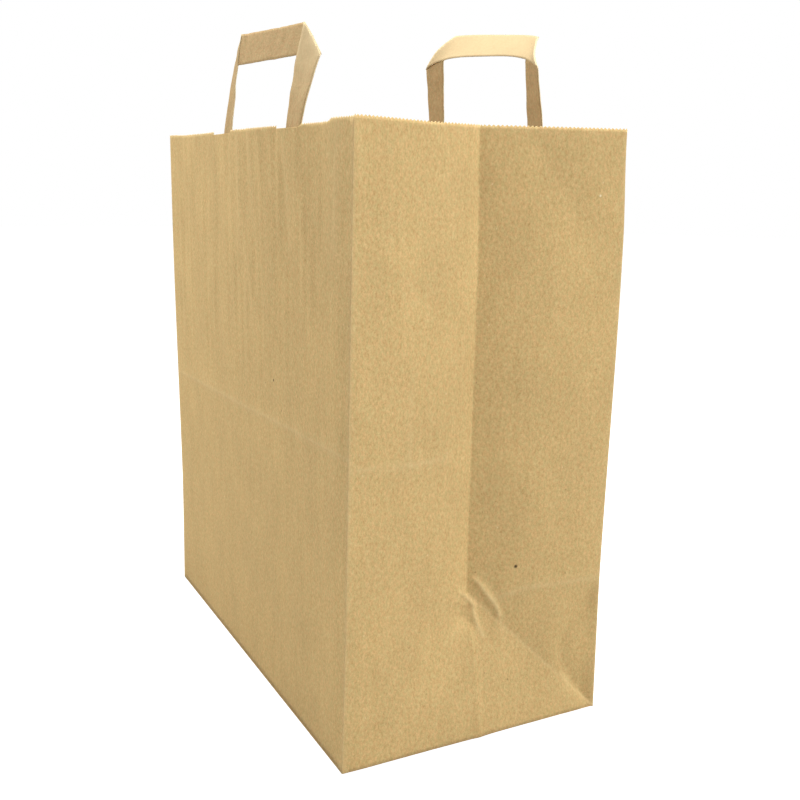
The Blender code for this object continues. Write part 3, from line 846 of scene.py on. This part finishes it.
bottom = bmesh.new()
wide, foot = HALF_WIDTH - EASE, GUSSET_HALF - EASE
narrow, tip = wide - FLAP_REACH, foot - FLAP_REACH
for side, low in ((-1, PAPER), (1, 0.0)):
    outline = [(-wide, side * foot), (wide, side * foot), (narrow, side * tip), (-narrow, side * tip)]
    flap(bottom, outline, low, low + PAPER, Vector((0, side * TOOTH_DEPTH, 0)))
inner_base = [(-wide, -foot), (wide, -foot), (wide, foot), (-wide, foot)]
flap(bottom, inner_base, BASE_Z + EASE / 2, BASE_Z + PAPER, Vector((0, 0, 0)))
for side in (-1, 1):
    outer, inner = side * (wide - PAPER), side * (HALF_WIDTH - FLAP_REACH)
    edge = foot - PAPER
    outline = [(outer, -edge), (outer, edge), (inner, edge), (inner, -edge)]
    flap(bottom, outline, BASE_Z + PAPER, BASE_Z + 2 * PAPER, Vector((side * TOOTH_DEPTH, 0, 0)))
bmesh.ops.recalc_face_normals(bottom, faces=bottom.faces)
keep_blank(bottom)
bottom.verts.layers.float.new("wear_and_highlight")
base = finish_piece("block_bottom", bottom, [sheet_paper])
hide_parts("bag_body")
print("bottom", len(base.data.polygons), "faces")

# %% [markdown]
# ## The handles
# A handle is one strip of paper folded to several plies. It goes up as a leg, folds over at 45 degrees, runs
# across as the grip, folds over again and comes down. The legs lie on the outer side of the grip. Paper
# handles are pulled up by hand, so no two stand alike: here the front one leans in and twists, and the back
# one is rolled back so that the light falls on its inner face. These functions say where a point of the flat
# strip goes, and they reuse the panels' own functions, so that each strip starts flat against its panel.

# %% Bend a point of a strip
STRIP_WIDTH = 0.0185
STRIP_THICK = 0.0006
LEG_TUCK = 0.042
CLEARANCE = 0.0003
LEAN_FROM = 0.008  # below the mouth, where the patch ends and a leg is free to turn
LEAN_CURVE = 1.3
# lean is how far each leg's outer corner and top come into the bag, tip how much higher the grip's left end
# stands, roll how far the grip is rolled back, arch the height of its middle, and wrinkles are places across.
BENDS = {
    "front": {
        "rise": 0.0576,
        "lean": ((0.0078, 0.0055), (0.0130, 0.0110)),
        "tip": 0.0027,
        "roll": -0.05,
        "arch": -0.001,
        "wrinkles": (-0.006, 0.041, 0.052),
    },
    "back": {
        "rise": 0.0640,
        "lean": ((0.0052, 0.0024), (0.0070, 0.0055)),
        "tip": 0.0138,
        "roll": 0.86,
        "arch": 0.0108,
        "wrinkles": (),
    },
}
for name, bend in BENDS.items():
    HANDLES[name].update(bend)


def clamp(t):
    return min(1.0, max(0.0, t))


def panel_face(handle, x, h):
    return (front_face if handle["side"] < 0 else back_face)(x, h)


def leaning(handle, x, h):
    """How far the strip leans into the bag: each leg turns as it rises, and the grip runs between them."""
    off, half = x - handle["centre"], handle["spacing"] / 2
    outer = clamp((abs(off) - half) / STRIP_WIDTH + 0.5)
    side = clamp(off / handle["spacing"] + 0.5)
    (left_outer, left_top), (right_outer, right_top) = handle["lean"]
    up, top = max(0.0, h + LEAN_FROM), handle["rise"] + LEAN_FROM
    at_top = lerp(left_top, right_top, side) * (up / top) ** LEAN_CURVE
    at_corner = lerp(left_outer, right_outer, side) * (up / (top - STRIP_WIDTH)) ** LEAN_CURVE
    return lerp(at_top, at_corner, outer)


def crumple(handle, x, h):
    """Small dents of a strip that was folded flat and pulled up: soft waves, and wrinkles across the grip."""
    depth = cockle(Vector((x, 7.7 * handle["side"], h)), 0.009, 0.5) * smooth(h / 0.012)
    for wrinkle in handle["wrinkles"]:
        away = abs(x - wrinkle - 0.1 * (handle["rise"] - h))
        depth += 0.8 * math.exp(-away / 0.0022) * smooth((h - 0.036) / 0.01)
    return depth / TO_MM


def handle_point(handle, x, ply, h):
    """Where a point of the flat strip goes: h above the mouth, ply deep from the strip's outer face."""
    off, half, rise = x - handle["centre"], handle["spacing"] / 2, handle["rise"]
    side = clamp(off / handle["spacing"] + 0.5)
    share = max(0.0, h) / rise
    grip = 1 - min(1.0, abs(off) / (half + STRIP_WIDTH / 2)) ** 4
    rolled = max(0.0, h - rise + STRIP_WIDTH) * grip
    lean = leaning(handle, x, h) + crumple(handle, x, h)
    inward = PAPER + CLEARANCE + ply + lean - handle["roll"] * rolled
    ends = [panel_face(handle, handle["centre"] + end * half, WALL) for end in (-1, 1)]
    free = min(1.0, max(0.0, h) / (rise - STRIP_WIDTH))
    face = lerp(panel_face(handle, x, WALL + min(0.0, h)), lerp(*ends, side), free)
    drop = lean**2 / 2 / (h + LEAN_FROM) if h > 0 else 0.0
    drop += handle["roll"] ** 2 / 2 * rolled + handle["tip"] * (side - 0.5) * share
    return Vector((x, handle["side"] * (face - inward), HEIGHT + h + handle["arch"] * share * grip - drop))


def legs(handle):
    """Where the middles of the two legs are."""
    return [handle["centre"] + side * handle["spacing"] / 2 for side in (-1, 1)]


print("legs", {name: [round(x, 4) for x in legs(handle)] for name, handle in HANDLES.items()})

# %% [markdown]
# ## Cut and fold the strips
# The two legs and the grip are cut flat from a fine grid and mitred along the 45 degree folds that join
# them. Each is bent on its own, and the three then make one object, because on the real bag they are one
# strip. The front handle's right leg and the back handle's grip get a painted highlight: their paper is
# painted paler from the mouth up.

# %% Cut and fold the strips
FINE_STEP, LONG_STEP = 0.0015, 0.002  # the grid's cells across a strip and along it
PRESSED_IN = 0.0001  # how far the plies are pressed into each other
PAINTED_HIGHLIGHT, PAINTED_HIGHLIGHT_RISE = 0.9, 0.05  # the most painted highlight, and the height over which it comes in


def even(low, high, step):
    """Evenly spaced places from low to high, about a step apart."""
    count = max(1, round((high - low) / step))
    return [lerp(low, high, i / count) for i in range(count + 1)]


def mitre(bm, place, normal):
    """Trims a flat strip along a 45 degree line and throws away what lies beyond it."""
    geometry = bm.verts[:] + bm.edges[:] + bm.faces[:]
    bmesh.ops.bisect_plane(bm, geom=geometry, dist=1e-6, plane_co=place, plane_no=normal, clear_outer=True)


def strip_ply(handle, columns, rows, cuts, ply, along_leg):
    """One ply of the handle: a grid, mitred, then bent. Its blank coordinates run along the strip."""
    bm = flat_grid(columns, rows)
    for place, normal in cuts:
        mitre(bm, place, normal)
    layer = bm.loops.layers.uv.new("blank")
    for face in bm.faces:
        for loop in face.loops:
            x, h = loop.vert.co.xy
            loop[layer].uv = (x, h) if along_leg else (h + 1.0, x)
    wear_and_highlight = bm.verts.layers.float.new("wear_and_highlight")
    for vertex in bm.verts:
        x, h = vertex.co.xy
        fold = min(abs((vertex.co - place).dot(normal.normalized())) for place, normal in cuts)
        vertex[wear_and_highlight] = math.exp(-fold / WORN_WIDTH)
        # a painted highlight: the front handle's right leg and the back handle's grip are painted paler from
        # the mouth up
        front_right_leg = handle["side"] < 0 and along_leg and x > handle["centre"]
        back_grip = handle["side"] > 0 and not along_leg
        if front_right_leg or back_grip:
            vertex[wear_and_highlight] += PAINTED_HIGHLIGHT * smooth(h / PAINTED_HIGHLIGHT_RISE)
        vertex.co = handle_point(handle, x, ply, h)
    if handle["side"] > 0:
        bmesh.ops.reverse_faces(bm, faces=bm.faces)
    return bm


def make_handle(name, handle):
    """Two legs and a grip in one object, each ply solidified inwards."""
    whole = bmesh.new()
    left, right = legs(handle)
    half, top = STRIP_WIDTH / 2, handle["rise"]
    foot = top - STRIP_WIDTH
    outer_edges = ((left - half, -1), (right + half, 1))
    cuts = [(Vector((edge, foot, 0)), Vector((out, 1, 0))) for edge, out in outer_edges]
    pieces = []
    for leg, cut in zip((left, right), cuts):
        columns, rows = even(leg - half, leg + half, FINE_STEP), even(-LEG_TUCK, top, LONG_STEP)
        pieces.append(strip_ply(handle, columns, rows, [cut], 0.0, True))
    columns, rows = even(left - half, right + half, LONG_STEP), even(foot, top, FINE_STEP)
    pieces.append(strip_ply(handle, columns, rows, cuts, STRIP_THICK - PRESSED_IN, False))
    for piece in pieces:
        mesh = bpy.data.meshes.new("ply")
        piece.to_mesh(mesh)
        piece.free()
        whole.from_mesh(mesh)
        bpy.data.meshes.remove(mesh)
    made = finish_piece(f"{name}_strip_handle", whole, [strip_paper, cut_edge])
    paper_thickness(made, STRIP_THICK)
    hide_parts(f"{name}_handle")
    return made


for name, handle in HANDLES.items():
    made = make_handle(name, handle)
    print(made.name, len(made.data.polygons), "faces")

# %% [markdown]
# ## The patches
# Inside the mouth a rectangle of paper is glued over both ends of each handle. It lies flat on the panel and
# steps up over the two leg ends, with a short ramp round each, because paper can't turn a sharp step. It is
# a flat grid again, and it follows the same panel relief as the sheet does.

# %% Lay the patches
PATCH_HEIGHT = 0.052
PATCH_DROP = 0.008
PATCH_SIDE = 0.016
PATCH_RAMP = 0.004
PATCH_EASE = 0.0008
PATCH_STEPS = (0.0022, 0.0026)  # the grid's cells across and up


def patch_lift(handle, x, h):
    """How far the patch stands off the panel: over a leg's end it clears the strip."""
    beside = STRIP_WIDTH / 2 + PATCH_EASE
    lift = 0.0
    for leg in legs(handle):
        across = 1 - (abs(x - leg) - beside) / PATCH_RAMP
        down = 1 - (-h - LEG_TUCK - PATCH_EASE) / PATCH_RAMP
        lift = max(lift, smooth(across) * smooth(down))
    return lift * (STRIP_THICK + CLEARANCE)


def patch_point(handle, x, h):
    """Where a point of the flat patch goes, h above the mouth."""
    inward = PAPER + CLEARANCE + patch_lift(handle, x, h)
    return Vector((x, handle["side"] * (panel_face(handle, x, WALL + h) - inward), HEIGHT + h))


for name, handle in HANDLES.items():
    left, right = legs(handle)
    beyond = STRIP_WIDTH / 2 + PATCH_SIDE
    columns = even(left - beyond, right + beyond, PATCH_STEPS[0])
    patch = flat_grid(columns, even(-PATCH_DROP - PATCH_HEIGHT, -PATCH_DROP, PATCH_STEPS[1]))
    keep_blank(patch)
    fold_up(patch, lambda x, h: patch_point(handle, x, h), lambda x, h: 0.0)
    if handle["side"] > 0:
        bmesh.ops.reverse_faces(patch, faces=patch.faces)
    laid = finish_piece(f"{name}_paper_patch", patch, [patch_paper, cut_edge])
    paper_thickness(laid, PAPER)
    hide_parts(f"{name}_handle_patch")
    print(laid.name, len(laid.data.polygons), "faces")

# %% [markdown]
# ## Finish
# The visual model has to stay close to the CAD model's box. The bows and ripples of the paper take the visual
# model about a millimetre past the CAD model's box, and the back handle's arch six millimetres.

# %% Finish
bpy.context.view_layer.update()
